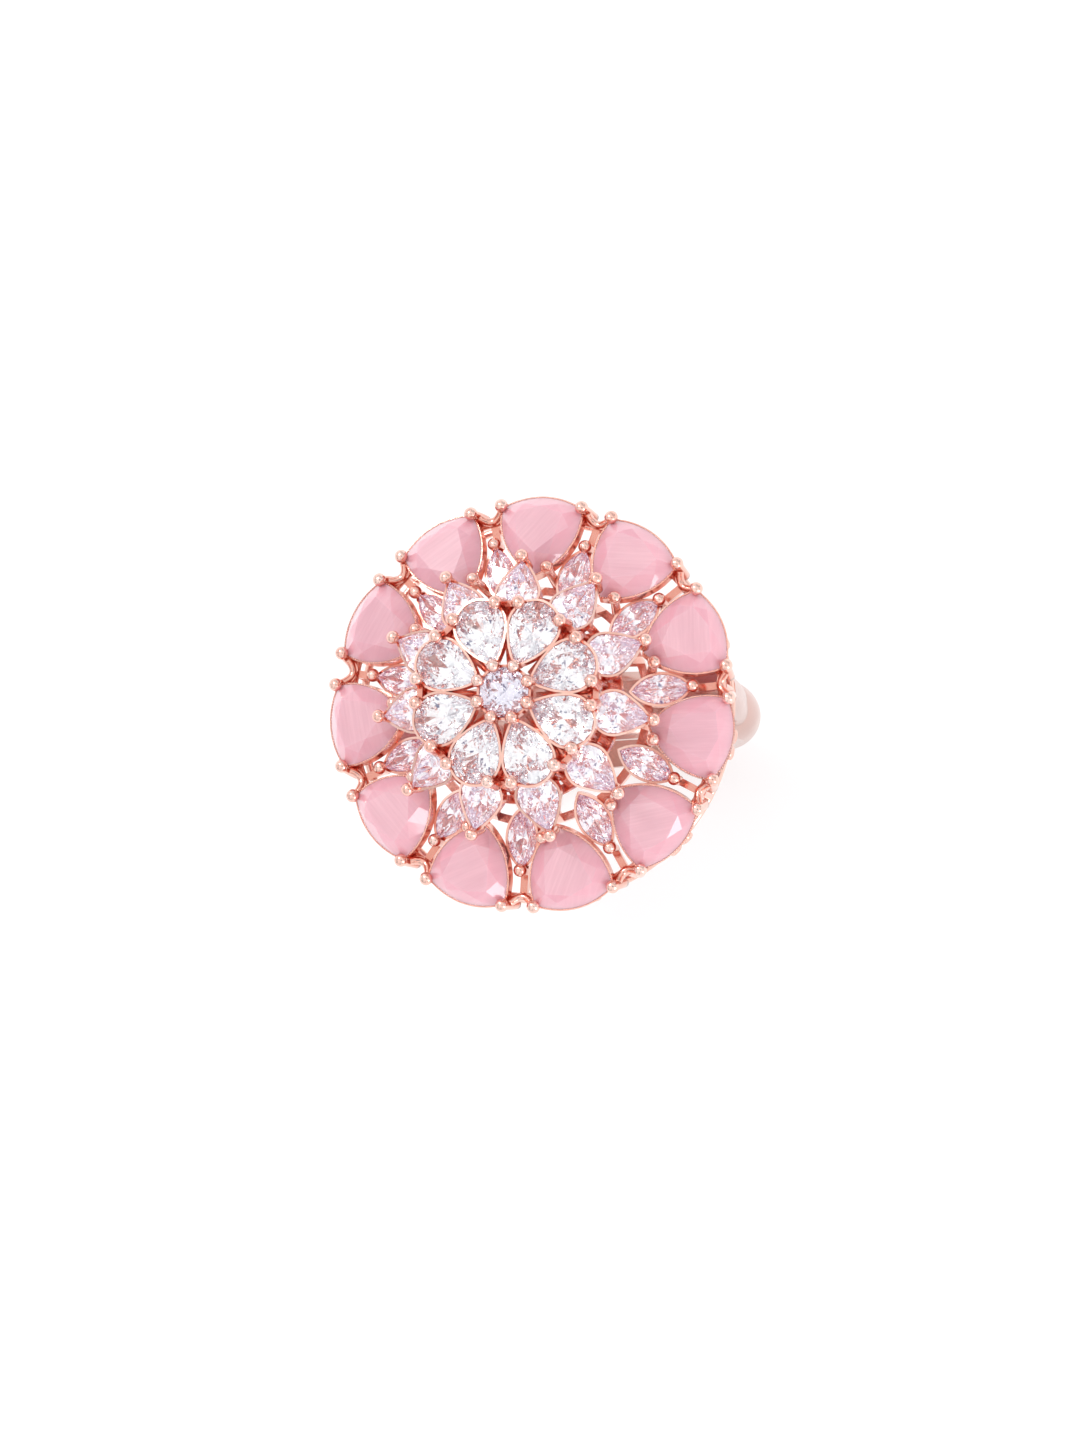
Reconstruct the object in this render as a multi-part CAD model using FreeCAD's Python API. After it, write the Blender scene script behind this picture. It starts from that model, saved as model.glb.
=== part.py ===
import FreeCAD, Part
import math
import os

# A domed cluster cocktail ring.  Units are millimetres.
# Frame: the finger's axis is Y, the origin is the centre of the finger hole, +Z points to the crown.
# A stone's own frame: x points away from the crown's centre, z is the stone's table direction.

V = FreeCAD.Vector

# Band
BORE_RADIUS = 9.1
BAND_REACH_IN = 0.6
BAND_THICK_TOP = 1.1
BAND_THICK_SIDE = 1.95
BAND_THICK_BOTTOM = 1.5
BAND_WIDTH_TOP = 4.2
BAND_WIDTH_BOTTOM = 3.0
BAND_EDGE_SHARE = 0.45
BAND_SECTIONS = 24

# Crown levels and symmetry
CLAW_PLANE = 13.8
OUTER_COUNT = 11
PETAL_COUNT = 8
OUTER_STEP = 360.0 / OUTER_COUNT
OUTER_PHASE = -OUTER_STEP / 2.0
MARQUISE_PHASE = 0.0
MID_PHASE = OUTER_PHASE + 1.2
PETAL_PHASE = 15.5

# Stone sizes
TRILLION_REACH = 2.83
TRILLION_BULGE = 2.17
MARQUISE_LENGTH = 3.5
MARQUISE_WIDTH = 1.75
MID_WIDTH = 2.5
MID_TAIL = 2.25
PETAL_WIDTH = 3.0
PETAL_TAIL = 2.5
CENTRE_DIAMETER = 3.0
PEAR_TANGENT = 112.0
PEAR_HEART = 0.4
GIRDLE_HALF = 0.06

# Stone frames: distance from the crown's axis, height, and outward tilt in degrees
TRILLION_PLACE = (10.48, CLAW_PLANE + 0.08, 14.5)
MARQUISE_PLACE = (8.1, CLAW_PLANE - 0.05, 12.0)
MID_PLACE = (6.2, CLAW_PLANE + 4.03, 25.0)
PETAL_PLACE = (4.3, CLAW_PLANE + 6.18, 5.0)
CENTRE_PLACE = (0.0, CLAW_PLANE + 6.28, 0.0)

# Cuts: crown height, pavilion depth, and the table's share of the outline
TRILLION_CUT = (0.85, 1.3, 0.6)
MARQUISE_CUT = (0.34, 0.76, 0.55)
MID_CUT = (0.45, 1.08, 0.55)
PETAL_CUT = (0.5, 1.28, 0.55)
CENTRE_CUT = (0.5, 1.3, 0.56)
TRILLION_FAN = 6
CUT_FAN = 2
STAR_SHARE = 0.5
STAR_HEIGHT = 0.62
UNDER_SHARE = 0.3
UNDER_DEPTH = 0.72

# Seats
CLEARANCE = 0.02
WALL = 0.14
TRILLION_WALL = 0.08
LEDGE = 0.18
LEDGE_MARGIN = 1.06
LIP = 0.05
TRILLION_SEAT_DEPTH = 0.75
MARQUISE_SEAT_DEPTH = 0.6
MID_SEAT_DEPTH = 0.65
FLOWER_SEAT_DEPTH = 0.6

# Claws
BEAD_RADIUS = 0.41
PRONG_RADIUS = 0.31
BEAD_OUT = 0.14
BEAD_UP = 0.44
PRONG_OUT = 0.42
CORNER_BEAD_OUT = 0.06
CORNER_CLAW_LENGTH = 1.6
TIP_BEAD_UP = 0.5
TIP_CLAW_LENGTH = 2.0
TIP_CLAW_STEP = 2
MARQUISE_CLAW_LENGTH = 1.0
MID_CLAW_LENGTH = 1.3
PETAL_CLAW_LENGTH = 0.75
PETAL_CLAW_ANGLE = 58.0
CENTRE_CLAW_LENGTH = 0.55

# Rails and gallery
WIRE = 0.5
OUTER_RAIL_RADIUS = 11.55
OUTER_RAIL_TOP = CLAW_PLANE - 1.15
BASE_RAIL_RADIUS = 7.0
INNER_RAIL_RADIUS = 6.0
INNER_RAIL_TOP = CLAW_PLANE + 2.35
MID_RAIL_RADIUS = 5.45
MID_RAIL_TOP = CLAW_PLANE + 3.53
MID_RAIL_WIRE = 0.4
CARRIER_RADIUS = 5.4
CARRIER_TOP = CLAW_PLANE + 5.5
CARRIER_WIRE = 0.36
STRUT_RADIUS = 0.26
STRUT_PHASE = MID_PHASE + OUTER_STEP / 2.0
JOINT = 0.1
GALLERY_FOOT = 9.7
RIB_THICKNESS = 0.45
SCROLL_WIRE = 0.2
SCROLL_HALF_WIDTH = 0.3
SCROLL_SPREAD = 0.52

# Shoulders: x and z of their corners and of a point on each bowed side
SHOULDER_WIDTH = 2.6
SHOULDER_ROUND = 1.0
SHOULDER_START = (2.4, GALLERY_FOOT)
SHOULDER_CORNER = (OUTER_RAIL_RADIUS + WIRE / 2.0, GALLERY_FOOT)
SHOULDER_OUTER_BOW = (11.55, 6.0)
SHOULDER_HEEL = (11.0, 2.4)
SHOULDER_INSIDE = (10.2, 2.4)
SHOULDER_INNER_BOW = (7.2, 7.2)
BRIDGE_BAR = 0.55
WINDOW_LEFT = (5.6, GALLERY_FOOT - BRIDGE_BAR)
WINDOW_RIGHT = (10.35, GALLERY_FOOT - BRIDGE_BAR)
WINDOW_OUTER_BOW = (10.62, 7.0)
WINDOW_LOW = (10.75, 4.6)
WINDOW_INNER_BOW = (8.35, 7.86)

# Room that a cutting shape needs beyond the metal
CUT_ROOM = 1.0


def polar(radius, degrees):
    turn = math.radians(degrees)
    return V(radius * math.cos(turn), radius * math.sin(turn), 0)


def trillion_outline(offset=0.0):
    """Three bowed sides; one corner points at the crown's centre."""
    half_chord = TRILLION_REACH * math.sqrt(3.0) / 2.0
    rise = TRILLION_BULGE - TRILLION_REACH / 2.0
    curve = (half_chord ** 2 + rise ** 2) / (2.0 * rise)
    sink = curve - TRILLION_BULGE
    corner = -sink / 2.0 + math.sqrt((curve + offset) ** 2 - 0.75 * sink ** 2)
    middle = TRILLION_BULGE + offset
    arcs = []
    for start in (-60, 60, 180):
        ends = (polar(corner, start), polar(middle, start + 60), polar(corner, start + 120))
        arcs.append((ends, 2))
    return arcs


def marquise_outline(offset=0.0):
    """Two arcs that meet in points along x."""
    half_length = MARQUISE_LENGTH / 2.0
    half_width = MARQUISE_WIDTH / 2.0
    curve = (half_length ** 2 + half_width ** 2) / (2.0 * half_width)
    sink = curve - half_width
    tip = V(math.sqrt((curve + offset) ** 2 - sink ** 2), 0, 0)
    side = V(0, half_width + offset, 0)
    return [((tip, side, -tip), 4), ((-tip, -side, tip), 4)]


def pear_outline(half_width, tail, offset=0.0):
    """A round end about the origin and two flatter sides that meet in a point at -x."""
    lean = math.cos(math.radians(PEAR_TANGENT))
    curve = (tail ** 2 + 2.0 * tail * half_width * lean + half_width ** 2)
    curve = curve / (2.0 * (half_width + tail * lean))
    hub = polar(half_width - curve, PEAR_TANGENT)
    join = polar(half_width + offset, PEAR_TANGENT)
    tip = V(hub.x - math.sqrt((curve + offset) ** 2 - hub.y ** 2), 0, 0)
    between = (join - hub).normalize() + (tip - hub).normalize()
    middle = hub + between.normalize() * (curve + offset)
    front = V(half_width + offset, 0, 0)
    arcs = [((mirror(join), front, join), 4), ((join, middle, tip), 2)]
    arcs.append(((tip, mirror(middle), mirror(join)), 2))
    return arcs


def mirror(point):
    return V(point.x, -point.y, point.z)


def petal_outline(offset=0.0):
    return pear_outline(PETAL_WIDTH / 2.0, PETAL_TAIL, offset)


def mid_outline(offset=0.0):
    """The middle tier's pears point away from the crown's centre."""
    arcs = pear_outline(MID_WIDTH / 2.0, MID_TAIL, offset)
    return [((-start, -middle, -end), facets) for (start, middle, end), facets in arcs]


def round_outline(offset=0.0):
    radius = CENTRE_DIAMETER / 2.0 + offset
    front = V(radius, 0, 0)
    side = V(0, radius, 0)
    return [((front, side, -front), 4), ((-front, -side, front), 4)]


def girdle_points(outline, fan):
    """Points round the widest line, with fan points to each table corner."""
    points = []
    for ends, facets in outline:
        edge = Part.Arc(*ends).toShape()
        points += edge.discretize(Number=facets * fan + 1)[:-1]
    return points


def facet(*corners):
    return Part.Face(Part.makePolygon(list(corners) + [corners[0]]))


def ring_at(points, heart, scale, height):
    """The outline's points drawn in towards the heart of the stone, at one height."""
    centre = V(heart, 0, 0)
    return [centre + (point - centre) * scale + V(0, 0, height) for point in points]


def side_facets(rim, peaks, mids, fan):
    """Kites from each peak to the rim, and fans from each point between two kites."""
    faces = []
    for k in range(len(mids)):
        corner = rim[k * fan]
        faces.append(facet(peaks[k], mids[k - 1], corner))
        faces.append(facet(peaks[k], corner, mids[k]))
        for j in range(fan):
            first = rim[k * fan + j]
            second = rim[(k * fan + j + 1) % len(rim)]
            faces.append(facet(mids[k], first, second))
    return faces


def cut_stone(outline, cut, heart=0.0, fan=CUT_FAN):
    """A faceted stone: table, star, kite and girdle facets above, kites to a culet below."""
    crown, pavilion, table = cut
    points = girdle_points(outline, fan)
    top = ring_at(points, heart, 1.0, GIRDLE_HALF)
    bottom = ring_at(points, heart, 1.0, -GIRDLE_HALF)
    halfway = points[fan // 2::fan]
    star_scale = table + STAR_SHARE * (1.0 - table)
    table_ring = ring_at(points[::fan], heart, table, GIRDLE_HALF + crown)
    star_ring = ring_at(halfway, heart, star_scale, GIRDLE_HALF + STAR_HEIGHT * crown)
    under_ring = ring_at(halfway, heart, UNDER_SHARE, -GIRDLE_HALF - UNDER_DEPTH * pavilion)
    culet = V(heart, 0, -GIRDLE_HALF - pavilion)
    faces = [facet(*table_ring)]
    for k in range(len(table_ring)):
        faces.append(facet(table_ring[k - 1], table_ring[k], star_ring[k - 1]))
    faces += side_facets(top, table_ring, star_ring, fan)
    faces += side_facets(bottom, [culet] * len(under_ring), under_ring, fan)
    for k in range(len(points)):
        faces.append(facet(top[k - 1], top[k], bottom[k], bottom[k - 1]))
    solid = Part.Solid(Part.Shell(faces))
    if solid.Volume < 0:
        solid.reverse()
    return solid


def slab(outline, low, high):
    edges = [Part.Arc(*ends).toShape() for ends, _ in outline]
    face = Part.Face(Part.Wire(edges))
    face.translate(V(0, 0, low))
    return face.extrude(V(0, 0, high - low))


def seat_parts(outline_of, half_width, pavilion, depth, wall=WALL):
    """The outer block of a seat and the stepped hole that its stone rests in."""
    ledge_drop = GIRDLE_HALF + LEDGE_MARGIN * LEDGE * pavilion / half_width + CLEARANCE
    block = slab(outline_of(CLEARANCE + wall), -depth, LIP)
    pocket = slab(outline_of(CLEARANCE), -ledge_drop, LIP + CUT_ROOM)
    throat = slab(outline_of(-LEDGE), -depth - CUT_ROOM, LIP)
    return block, pocket.fuse(throat)


def seat(outline_of, half_width, pavilion, depth, wall=WALL):
    block, hole = seat_parts(outline_of, half_width, pavilion, depth, wall)
    return block.cut(hole)


def claw(point, outward, length, bead_up=BEAD_UP, bead_out=BEAD_OUT):
    """A leaning prong outside the rim with a round bead bent over the stone."""
    bead = point + outward * bead_out + V(0, 0, bead_up)
    foot = point + outward * PRONG_OUT + V(0, 0, -length)
    rise = bead - foot
    prong = Part.makeCylinder(PRONG_RADIUS, rise.Length, foot, rise)
    return prong.fuse(Part.makeSphere(BEAD_RADIUS, bead))


def outward_at(points, index):
    along = points[(index + 1) % len(points)] - points[index - 1]
    return V(along.y, -along.x, 0).normalize()


def seated(shape, radius, height, tilt):
    """Moves a shape from a stone's own frame to its place on the +X side of the crown."""
    moved = shape.copy()
    turn = FreeCAD.Rotation(V(0, 1, 0), tilt)
    moved.Placement = FreeCAD.Placement(V(radius, 0, height), turn).multiply(moved.Placement)
    return moved


def turned(shape, degrees):
    moved = shape.copy()
    moved.rotate(V(0, 0, 0), V(0, 0, 1), degrees)
    return moved


def around(shape, count, phase):
    return [turned(shape, phase + k * 360.0 / count) for k in range(count)]


def group(shapes):
    solids = []
    for shape in shapes:
        solids += shape.Solids
    return Part.makeCompound(solids)


def rail(radius, top, wire=WIRE):
    outer = Part.makeCylinder(radius + wire / 2.0, wire, V(0, 0, top - wire))
    inner = Part.makeCylinder(radius - wire / 2.0, wire, V(0, 0, top - wire))
    return outer.cut(inner)


def round_rail(radius, top):
    return Part.makeTorus(radius, WIRE / 2.0, V(0, 0, top - WIRE / 2.0))


def rod(start, end, radius):
    run = end - start
    return Part.makeCylinder(radius, run.Length, start, run)


def save(name, shape):
    shape.exportStep("parts/" + name + ".step")


def save_each(name, shapes):
    for index, shape in enumerate(shapes):
        save("%s_%02d" % (name, index + 1), shape)


# Outer tier: cat's-eye trillions
def outer_tier():
    pavilion = TRILLION_CUT[1]
    stone = cut_stone(trillion_outline(), TRILLION_CUT, fan=TRILLION_FAN)
    depth = TRILLION_SEAT_DEPTH
    collet = seat(trillion_outline, TRILLION_BULGE, pavilion, depth, TRILLION_WALL)
    rim = girdle_points(trillion_outline(), TRILLION_FAN)
    keep = stone.fuse(collet)
    side_points = 2 * TRILLION_FAN
    outer = []
    for index in (0, side_points):
        towards = rim[index] / rim[index].Length
        prong = claw(rim[index], towards, CORNER_CLAW_LENGTH, bead_out=CORNER_BEAD_OUT)
        outer.append(seated(prong.cut(keep), *TRILLION_PLACE))
    tip_index = 2 * side_points + TIP_CLAW_STEP
    tip = claw(rim[tip_index], outward_at(rim, tip_index), TIP_CLAW_LENGTH, TIP_BEAD_UP)
    tip = seated(tip.cut(keep), *TRILLION_PLACE)
    return seated(stone, *TRILLION_PLACE), seated(collet, *TRILLION_PLACE), outer, tip


def pointed_tier(outline_of, width, length, cut, heart, depth, claw_length, place):
    """A stone whose point faces outwards, its seat and the claw over that point."""
    stone = cut_stone(outline_of(), cut, heart=heart)
    collet = seat(outline_of, width / 2.0, cut[1], depth)
    prong = claw(V(length, 0, 0), V(1, 0, 0), claw_length).cut(stone.fuse(collet))
    return seated(stone, *place), seated(collet, *place), seated(prong, *place)


# Marquise tier, between the trillions
def marquise_tier():
    return pointed_tier(
        marquise_outline, MARQUISE_WIDTH, MARQUISE_LENGTH / 2.0, MARQUISE_CUT, 0.0,
        MARQUISE_SEAT_DEPTH, MARQUISE_CLAW_LENGTH, MARQUISE_PLACE,
    )


# Middle tier: pears whose points overhang the trillions' inner corners
def mid_tier():
    return pointed_tier(
        mid_outline, MID_WIDTH, MID_TAIL, MID_CUT, PEAR_HEART,
        MID_SEAT_DEPTH, MID_CLAW_LENGTH, MID_PLACE,
    )


# Flower head: pear petals round one brilliant
def petal_tier():
    pavilion = PETAL_CUT[1]
    half_width = PETAL_WIDTH / 2.0
    stone = cut_stone(petal_outline(), PETAL_CUT, heart=-PEAR_HEART)
    block, hole = seat_parts(petal_outline, half_width, pavilion, FLOWER_SEAT_DEPTH)
    claws = []
    for side in (1, -1):
        towards = polar(1.0, side * PETAL_CLAW_ANGLE)
        prong = claw(towards * half_width, towards, PETAL_CLAW_LENGTH)
        claws.append(seated(prong, *PETAL_PLACE))
    stone, block, hole = [seated(shape, *PETAL_PLACE) for shape in (stone, block, hole)]
    return stone, block, hole, claws


def centre_tier():
    radius = CENTRE_DIAMETER / 2.0
    stone = cut_stone(round_outline(), CENTRE_CUT)
    block, hole = seat_parts(round_outline, radius, CENTRE_CUT[1], FLOWER_SEAT_DEPTH)
    prong = claw(V(radius, 0, 0), V(1, 0, 0), CENTRE_CLAW_LENGTH)
    return [seated(shape, *CENTRE_PLACE) for shape in (stone, block, hole, prong)]


def band_section(degrees):
    """D-shaped section of the band, in the plane at an angle from the crown."""
    swing = math.cos(math.radians(degrees))
    double = math.cos(math.radians(2 * degrees))
    ends_mean = (BAND_THICK_TOP + BAND_THICK_BOTTOM) / 2.0
    thick = (ends_mean + BAND_THICK_SIDE) / 2.0
    thick += swing * (BAND_THICK_TOP - BAND_THICK_BOTTOM) / 2.0
    thick += double * (ends_mean - BAND_THICK_SIDE) / 2.0
    width = (BAND_WIDTH_TOP + BAND_WIDTH_BOTTOM) / 2.0
    width += swing * (BAND_WIDTH_TOP - BAND_WIDTH_BOTTOM) / 2.0
    inner = BORE_RADIUS - BAND_REACH_IN
    edge = BORE_RADIUS + BAND_EDGE_SHARE * thick
    half = width / 2.0
    corners = [V(0, half, edge), V(0, half, inner), V(0, -half, inner), V(0, -half, edge)]
    lines = Part.makePolygon(corners).Edges
    crown = Part.Arc(corners[3], V(0, 0, BORE_RADIUS + thick), corners[0]).toShape()
    wire = Part.Wire(lines + [crown])
    wire.rotate(V(0, 0, 0), V(0, 1, 0), degrees)
    return wire


def band():
    sections = [band_section(k * 360.0 / BAND_SECTIONS) for k in range(BAND_SECTIONS)]
    hoop = Part.makeLoft(sections, True, False, True)
    reach = BAND_WIDTH_TOP / 2.0 + CUT_ROOM
    bore = Part.makeCylinder(BORE_RADIUS, 2.0 * reach, V(0, -reach, 0), V(0, 1, 0))
    return hoop.cut(bore)


def seat_frame():
    """The outer and base rails, joined by ribs that run out under the marquises."""
    outer_rail = round_rail(OUTER_RAIL_RADIUS, OUTER_RAIL_TOP)
    base_rail = rail(BASE_RAIL_RADIUS, OUTER_RAIL_TOP)
    corner = V(BASE_RAIL_RADIUS, -RIB_THICKNESS / 2.0, OUTER_RAIL_TOP - WIRE)
    rib = Part.makeBox(OUTER_RAIL_RADIUS - BASE_RAIL_RADIUS, RIB_THICKNESS, WIRE, corner)
    return outer_rail.multiFuse([base_rail] + around(rib, OUTER_COUNT, MARQUISE_PHASE))


def dome_panel():
    """A thin upright panel between the base rail and the inner rail."""
    half = WIRE / 2.0
    low = OUTER_RAIL_TOP
    high = INNER_RAIL_TOP - WIRE
    face = facet(
        V(BASE_RAIL_RADIUS - half, 0, low),
        V(BASE_RAIL_RADIUS + half, 0, low),
        V(INNER_RAIL_RADIUS + half, 0, high),
        V(INNER_RAIL_RADIUS - half, 0, high),
    )
    face.translate(V(0, -RIB_THICKNESS / 2.0, 0))
    return face.extrude(V(0, RIB_THICKNESS, 0))


def dome_frame():
    inner_rail = rail(INNER_RAIL_RADIUS, INNER_RAIL_TOP)
    return inner_rail.multiFuse(around(dome_panel(), OUTER_COUNT, OUTER_PHASE))


def flower_stand(dome, flower):
    """The mid rail, with short rods down to the inner rail and up to the flower's carrier ring."""
    mid_rail = rail(MID_RAIL_RADIUS, MID_RAIL_TOP, MID_RAIL_WIRE)
    inner_top = V(INNER_RAIL_RADIUS - JOINT, 0, INNER_RAIL_TOP - JOINT)
    mid_low = V(MID_RAIL_RADIUS + JOINT, 0, MID_RAIL_TOP - MID_RAIL_WIRE + JOINT)
    mid_top = V(MID_RAIL_RADIUS, 0, MID_RAIL_TOP - JOINT)
    carrier_low = V(CARRIER_RADIUS, 0, CARRIER_TOP - CARRIER_WIRE + JOINT)
    rods = around(rod(inner_top, mid_low, STRUT_RADIUS), OUTER_COUNT, STRUT_PHASE)
    rods += around(rod(mid_top, carrier_low, STRUT_RADIUS), OUTER_COUNT, STRUT_PHASE)
    return mid_rail.multiFuse(rods).cut(dome).cut(flower)


def scroll_loop(low, high):
    """An upright oval loop of wire, outside the rails on the +X side."""
    radius = OUTER_RAIL_RADIUS + WIRE / 2.0 + SCROLL_WIRE
    bend = SCROLL_HALF_WIDTH
    base = V(radius, 0, low + bend)
    crest = V(radius, 0, high - bend)
    height = crest.z - base.z
    ends = Part.makeTorus(bend, SCROLL_WIRE, base, V(1, 0, 0))
    ends = ends.fuse(Part.makeTorus(bend, SCROLL_WIRE, crest, V(1, 0, 0)))
    between = V(radius - CUT_ROOM, -bend, base.z)
    loop = ends.cut(Part.makeBox(2 * CUT_ROOM, 2 * bend, height, between))
    for side in (1, -1):
        loop = loop.fuse(Part.makeCylinder(SCROLL_WIRE, height, base + V(0, side * bend, 0)))
    return loop


def gallery_scrolls():
    """A pair of scroll loops under each trillion, between the foot rail and the outer rail."""
    low = GALLERY_FOOT + WIRE / 2.0
    high = OUTER_RAIL_TOP - WIRE / 2.0
    loops = []
    for side in (1, -1):
        loop = scroll_loop(low, high)
        loop.translate(V(0, side * SCROLL_SPREAD, 0))
        loops += around(loop, OUTER_COUNT, OUTER_PHASE)
    return loops


def gallery_posts():
    low = GALLERY_FOOT + WIRE
    high = OUTER_RAIL_TOP - WIRE
    post = Part.makeCylinder(WIRE / 2.0, high - low, V(OUTER_RAIL_RADIUS, 0, low))
    return around(post, OUTER_COUNT, MARQUISE_PHASE)


def upright(place):
    return V(place[0], 0, place[1])


def plate(corners, bows, thickness):
    """A flat plate in the XZ plane, centred on y = 0; each side is straight or bows via a point."""
    edges = []
    for k, bow in enumerate(bows):
        start = upright(corners[k])
        end = upright(corners[(k + 1) % len(corners)])
        if bow:
            edges.append(Part.Arc(start, upright(bow), end).toShape())
        else:
            edges.append(Part.makeLine(start, end))
    face = Part.Face(Part.Wire(edges))
    face.translate(V(0, -thickness / 2.0, 0))
    return face.extrude(V(0, thickness, 0))


def shoulder(hoop):
    """A rounded strut and a bridge bar from the band up to the foot rail, on the +X side."""
    corners = (SHOULDER_START, SHOULDER_CORNER, SHOULDER_HEEL, SHOULDER_INSIDE)
    bows = (None, SHOULDER_OUTER_BOW, None, SHOULDER_INNER_BOW)
    web = plate(corners, bows, SHOULDER_WIDTH)
    outer_edges = []
    for edge in web.Edges:
        tall = edge.BoundBox.ZLength > GALLERY_FOOT - SHOULDER_HEEL[1] - JOINT
        if tall and edge.BoundBox.XMin > SHOULDER_INSIDE[0] + JOINT:
            outer_edges.append(edge)
    web = web.makeFillet(SHOULDER_ROUND, outer_edges)
    corners = (WINDOW_LEFT, WINDOW_RIGHT, WINDOW_LOW)
    bows = (None, WINDOW_OUTER_BOW, WINDOW_INNER_BOW)
    window = plate(corners, bows, SHOULDER_WIDTH + 2.0 * CUT_ROOM)
    return web.cut(window).cut(hoop)


def flower_setting(petal_block, petal_hole, centre_block, centre_hole):
    """Eight petal collets, the centre collet and their carrier ring, made as one casting."""
    carrier = rail(CARRIER_RADIUS, CARRIER_TOP, CARRIER_WIRE)
    blocks = around(petal_block, PETAL_COUNT, PETAL_PHASE) + [centre_block]
    holes = around(petal_hole, PETAL_COUNT, PETAL_PHASE) + [centre_hole]
    return carrier.multiFuse(blocks).cut(Part.makeCompound(holes))


def build_outer_tiers(frame):
    """Trillions, marquises, their seats and claws; touching metal is trimmed face to face."""
    trillion, trillion_seat, corner_claws, tip_claw = outer_tier()
    marquise, marquise_seat, marquise_claw = marquise_tier()
    frame_here = turned(frame, -OUTER_PHASE)
    corner_claws = [prong.cut(frame_here) for prong in corner_claws]
    tip_claw = tip_claw.cut(frame_here)
    neighbours = []
    for side in (1, -1):
        for shape in (trillion_seat, tip_claw):
            neighbours.append(turned(shape, side * OUTER_STEP / 2.0))
    marquise_seat = marquise_seat.cut(Part.makeCompound(neighbours))
    marquise_claw = marquise_claw.cut(frame)

    save_each("outer_stone", around(trillion, OUTER_COUNT, OUTER_PHASE))
    save_each("marquise_stone", around(marquise, OUTER_COUNT, MARQUISE_PHASE))
    save("outer_collets", group(around(trillion_seat, OUTER_COUNT, OUTER_PHASE)))
    save("marquise_collets", group(around(marquise_seat, OUTER_COUNT, MARQUISE_PHASE)))
    claws = []
    for prong in corner_claws:
        claws += around(prong, OUTER_COUNT, OUTER_PHASE)
    save("outer_claws", group(claws))
    save("tip_claws", group(around(tip_claw, OUTER_COUNT, OUTER_PHASE)))
    save("marquise_claws", group(around(marquise_claw, OUTER_COUNT, MARQUISE_PHASE)))


def build_mid_tier():
    pear, pear_seat, pear_claw = mid_tier()
    save_each("mid_stone", around(pear, OUTER_COUNT, MID_PHASE))
    save("mid_collets", group(around(pear_seat, OUTER_COUNT, MID_PHASE)))
    save("mid_claws", group(around(pear_claw, OUTER_COUNT, MID_PHASE)))


def build_flower():
    petal, petal_block, petal_hole, petal_claws = petal_tier()
    centre, centre_block, centre_hole, centre_claw = centre_tier()
    flower = flower_setting(petal_block, petal_hole, centre_block, centre_hole)
    solid_parts = flower.fuse(turned(petal, PETAL_PHASE))
    claws = []
    for prong in petal_claws:
        trimmed = turned(prong, PETAL_PHASE).cut(solid_parts)
        claws += around(trimmed, PETAL_COUNT, 0)
    inner_claw = turned(centre_claw, PETAL_PHASE).cut(solid_parts).cut(centre)
    save("centre_stone", centre)
    save_each("petal_stone", around(petal, PETAL_COUNT, PETAL_PHASE))
    save("flower_setting", flower)
    save("petal_claws", group(claws))
    save("centre_claws", group(around(inner_claw, PETAL_COUNT, 0)))
    return flower


def build_ring():
    hoop = band()
    web = shoulder(hoop)
    frame = seat_frame()
    dome = dome_frame()
    save("band", hoop)
    save("band_shoulders", group([web, turned(web, 180)]))
    save("foot_rail", round_rail(OUTER_RAIL_RADIUS, GALLERY_FOOT + WIRE))
    save("gallery_posts", group(gallery_posts()))
    save("gallery_scrolls", group(gallery_scrolls()))
    save("seat_frame", frame)
    save("dome_frame", dome)
    build_outer_tiers(frame)
    build_mid_tier()
    flower = build_flower()
    save("flower_stand", flower_stand(dome, flower))


os.makedirs("parts", exist_ok=True)
build_ring()
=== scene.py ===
import math

import bpy
from mathutils import Matrix, Vector


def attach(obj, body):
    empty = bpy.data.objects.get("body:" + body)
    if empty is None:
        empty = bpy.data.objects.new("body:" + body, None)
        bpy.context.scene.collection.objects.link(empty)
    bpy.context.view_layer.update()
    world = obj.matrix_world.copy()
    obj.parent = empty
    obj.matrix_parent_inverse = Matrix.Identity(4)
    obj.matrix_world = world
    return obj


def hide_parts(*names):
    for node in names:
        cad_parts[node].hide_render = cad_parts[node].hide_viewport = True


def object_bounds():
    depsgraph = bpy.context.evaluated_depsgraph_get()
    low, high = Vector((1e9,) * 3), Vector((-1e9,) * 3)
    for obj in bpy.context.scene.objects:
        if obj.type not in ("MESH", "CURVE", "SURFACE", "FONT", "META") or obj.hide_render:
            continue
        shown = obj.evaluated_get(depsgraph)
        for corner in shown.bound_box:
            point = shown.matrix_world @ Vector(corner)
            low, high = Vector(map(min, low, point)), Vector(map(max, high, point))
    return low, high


# A domed cluster cocktail ring in rose gold, clear stones and pink cat's-eye.
# Lengths are metres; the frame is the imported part's own.

MM = 0.001
CLAW_PLANE = 13.8 * MM

# Camera: straight down on the crown, leaning a little towards +X and -Y.
CAMERA_BACK = Vector((0.2322, -0.1302, 0.9639)).normalized()
CAMERA_UP = Vector((0.0818, 0.9967, 0.0))
CAMERA_DISTANCE = 337 * MM
CAMERA_LENS = 140.0
AIM_RIGHT = 0.60 * MM
AIM_UP = -0.96 * MM

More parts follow.
